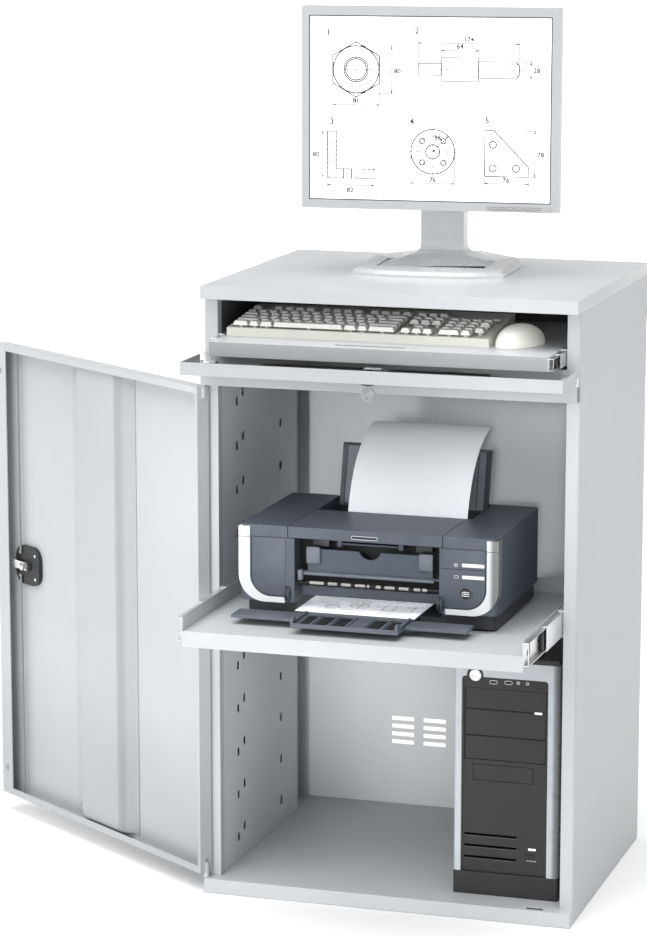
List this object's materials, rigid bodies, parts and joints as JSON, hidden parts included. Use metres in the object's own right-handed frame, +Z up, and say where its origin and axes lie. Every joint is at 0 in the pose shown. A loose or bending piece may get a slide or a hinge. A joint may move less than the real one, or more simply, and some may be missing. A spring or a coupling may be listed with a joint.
{
  "type": "computer workstation",
  "caption": "Steel computer cabinet with hinged door, drop flap, keyboard drawer and pull-out printer shelf, fitted with monitor, keyboard, mouse, printer and tower.",
  "frame": {"origin": "on the floor under the middle of the cabinet's footprint, on the face of the floor stiffener", "axes": "+Z up, cabinet's front faces -Y, its open door on the -X side"},
  "size_m": [1.1819, 0.7385, 1.5165],
  "materials": {
    "cabinet_paint": "smooth light grey powder coat",
    "inner_paint": "smooth mid grey powder coat",
    "slide_steel": "zinc-plated rolled steel",
    "lock_black": "satin black",
    "lock_metal": "nickel plated",
    "rubber_black": "dull",
    "keyboard_cream": "fine-grained cream plastic",
    "key_cream": "satin pale plastic",
    "printer_slate": "satin slate grey",
    "printer_dark": "satin near-black",
    "printer_silver": "pearl silver",
    "smoked_clear": "smoked",
    "paper_white": "plain",
    "tower_black": "satin black",
    "tower_steel": "fine black paint",
    "tower_silver": "metallic silver",
    "monitor_silver": "metallic silver",
    "screen": "lit panel"
  },
  "bodies": {
    "cabinet": {"side_panel_left": "cabinet_paint", "side_panel_right": "cabinet_paint", "inner_walls": "inner_paint", "back_panel": "inner_paint", "top_panel": "cabinet_paint", "floor_pan": "cabinet_paint", "base_stiffener": "cabinet_paint", "front_rail": "cabinet_paint", "compartment_floor": "inner_paint", "rails_fixed": "slide_steel", "hinge_pins": "slide_steel", "tower_chassis": "tower_steel", "tower_front_panel": "tower_black", "tower_side_frames": "tower_silver", "tower_top_cover": "tower_black", "tower_drive_covers": "tower_black", "tower_feet": "tower_black", "monitor_base": "monitor_silver"},
    "door": {"door_panel": "cabinet_paint", "door_stiffener": "cabinet_paint", "lock_plate": "lock_black", "door_buffers": "rubber_black"},
    "door_handle": {"door_handle": "lock_metal"},
    "lock_rod_upper": {"lock_rod_upper": "slide_steel"},
    "lock_rod_lower": {"lock_rod_lower": "slide_steel"},
    "flap": {"flap_panel": "cabinet_paint", "flap_lock": "lock_metal"},
    "flap_key": {"flap_key": "lock_metal"},
    "drawer_slides": {"tray_rails_middle": "slide_steel"},
    "keyboard_drawer": {"keyboard_tray": "cabinet_paint", "tray_rails_moving": "slide_steel", "keyboard_case": "keyboard_cream", "keyboard_keys": "key_cream", "mouse_shell": "keyboard_cream"},
    "space_bar": {"space_bar": "key_cream"},
    "mouse_button_left": {"mouse_button_left": "keyboard_cream"},
    "mouse_button_right": {"mouse_button_right": "keyboard_cream"},
    "shelf_slides": {"shelf_rails_middle": "slide_steel"},
    "printer_shelf": {"printer_shelf": "cabinet_paint", "shelf_rails_moving": "slide_steel", "printer_base": "printer_dark", "printer_housing": "printer_slate", "printer_trims": "printer_silver", "printer_output_guide": "printer_slate", "paper_stack": "paper_white", "printed_sheet": "paper_white"},
    "printer_top_cover": {"printer_top_cover": "printer_slate"},
    "paper_support": {"paper_support": "smoked_clear"},
    "printer_output_tray": {"printer_output_tray": "printer_slate"},
    "printer_power_button": {"printer_power_button": "printer_silver"},
    "printer_feed_button": {"printer_feed_button": "printer_silver"},
    "tower_power_button": {"tower_power_button": "tower_silver"},
    "tower_reset_button": {"tower_reset_button": "tower_silver"},
    "monitor_slider": {"monitor_slider": "monitor_silver"},
    "monitor_head": {"monitor_head": "monitor_silver"},
    "monitor": {"monitor_housing": "monitor_silver", "monitor_bezel": "monitor_silver", "monitor_screen": "screen", "monitor_buttons": "monitor_silver"},
    "monitor_power_button": {"monitor_power_button": "monitor_silver"}
  },
  "joints": [
    {"name": "door_swing", "type": "hinge", "parent": "cabinet", "child": "door", "pos_m": [-0.323, -0.26, 0.46], "axis": [0, 0, -1], "range_deg": [-125, 2]},
    {"name": "handle_turn", "type": "hinge", "parent": "door", "child": "door_handle", "pos_m": [-0.7809, 0.07284, 0.479], "axis": [-0.5736, -0.8192, 0], "range_deg": [0, 90]},
    {"name": "upper_rod_slide", "type": "slide", "parent": "door", "child": "lock_rod_upper", "axis": [0, 0, 1], "range_m": [0, 0.016]},
    {"name": "lower_rod_slide", "type": "slide", "parent": "door", "child": "lock_rod_lower", "axis": [0, 0, -1], "range_m": [0, 0.016]},
    {"name": "flap_drop", "type": "hinge", "parent": "cabinet", "child": "flap", "pos_m": [0, -0.265, 0.929], "axis": [1, 0, 0], "range_deg": [-12, 0]},
    {"name": "key_turn", "type": "hinge", "parent": "flap", "child": "flap_key", "pos_m": [-0.004, -0.357, 0.93], "axis": [0, 0, -1], "range_deg": [0, 90]},
    {"name": "drawer_pull", "type": "slide", "parent": "cabinet", "child": "keyboard_drawer", "axis": [0, -1, 0], "range_m": [-0.083, 0.2]},
    {"name": "drawer_slides_run", "type": "slide", "parent": "cabinet", "child": "drawer_slides", "axis": [0, -1, 0], "range_m": [-0.0415, 0.1]},
    {"name": "space_bar_press", "type": "slide", "parent": "keyboard_drawer", "child": "space_bar", "axis": [0, 0, -1], "range_m": [0, 0.003], "stiffness_N_per_m": 150, "springref_m": -0.003},
    {"name": "mouse_left_press", "type": "slide", "parent": "keyboard_drawer", "child": "mouse_button_left", "axis": [0, 0, -1], "range_m": [0, 0.0005], "stiffness_N_per_m": 400, "springref_m": -0.0005},
    {"name": "mouse_right_press", "type": "slide", "parent": "keyboard_drawer", "child": "mouse_button_right", "axis": [0, 0, -1], "range_m": [0, 0.0005], "stiffness_N_per_m": 400, "springref_m": -0.0005},
    {"name": "shelf_pull", "type": "slide", "parent": "cabinet", "child": "printer_shelf", "axis": [0, -1, 0], "range_m": [-0.2255, 0.15]},
    {"name": "shelf_slides_run", "type": "slide", "parent": "cabinet", "child": "shelf_slides", "axis": [0, -1, 0], "range_m": [-0.11275, 0.075]},
    {"name": "top_cover_lift", "type": "hinge", "parent": "printer_shelf", "child": "printer_top_cover", "pos_m": [-0.013, -0.198, 0.668], "axis": [-1, 0, 0], "range_deg": [0, 45]},
    {"name": "paper_support_fold", "type": "hinge", "parent": "printer_shelf", "child": "paper_support", "pos_m": [-0.0055, -0.08, 0.662], "axis": [-1, 0, 0], "range_deg": [-25, 0]},
    {"name": "output_tray_drop", "type": "hinge", "parent": "printer_shelf", "child": "printer_output_tray", "pos_m": [-0.02, -0.3503, 0.528], "axis": [1, 0, 0], "range_deg": [-75, 0]},
    {"name": "printer_power_press", "type": "slide", "parent": "printer_shelf", "child": "printer_power_button", "axis": [0, 1, 0], "range_m": [0, 0.001], "stiffness_N_per_m": 400, "springref_m": -0.001},
    {"name": "printer_feed_press", "type": "slide", "parent": "printer_shelf", "child": "printer_feed_button", "axis": [0, 1, 0], "range_m": [0, 0.001], "stiffness_N_per_m": 400, "springref_m": -0.001},
    {"name": "tower_power_press", "type": "slide", "parent": "cabinet", "child": "tower_power_button", "axis": [0, 1, 0], "range_m": [0, 0.002], "stiffness_N_per_m": 400, "springref_m": -0.002},
    {"name": "tower_reset_press", "type": "slide", "parent": "cabinet", "child": "tower_reset_button", "axis": [0, 1, 0], "range_m": [0, 0.001], "stiffness_N_per_m": 400, "springref_m": -0.001},
    {"name": "monitor_height", "type": "slide", "parent": "cabinet", "child": "monitor_slider", "axis": [0, 0, 1], "range_m": [-0.05, 0.04]},
    {"name": "monitor_swivel", "type": "hinge", "parent": "monitor_slider", "child": "monitor_head", "pos_m": [-0.00926, 0.12628, 1.3393], "axis": [0, 0, 1], "range_deg": [-45, 45]},
    {"name": "monitor_tilt", "type": "hinge", "parent": "monitor_head", "child": "monitor", "pos_m": [-0.00404, 0.0635, 1.3393], "axis": [-0.9966, -0.0828, 0], "range_deg": [-4, 18]},
    {"name": "monitor_power_press", "type": "slide", "parent": "monitor", "child": "monitor_power_button", "axis": [-0.0828, 0.9966, 0], "range_m": [0, 0.001], "stiffness_N_per_m": 400, "springref_m": -0.001}
  ],
  "couplings": [
    {"joint": "upper_rod_slide", "follows": "handle_turn", "m_per_rad": 0.01018},
    {"joint": "lower_rod_slide", "follows": "handle_turn", "m_per_rad": 0.01018},
    {"joint": "drawer_slides_run", "follows": "drawer_pull", "ratio": 0.5},
    {"joint": "shelf_slides_run", "follows": "shelf_pull", "ratio": 0.5}
  ]
}
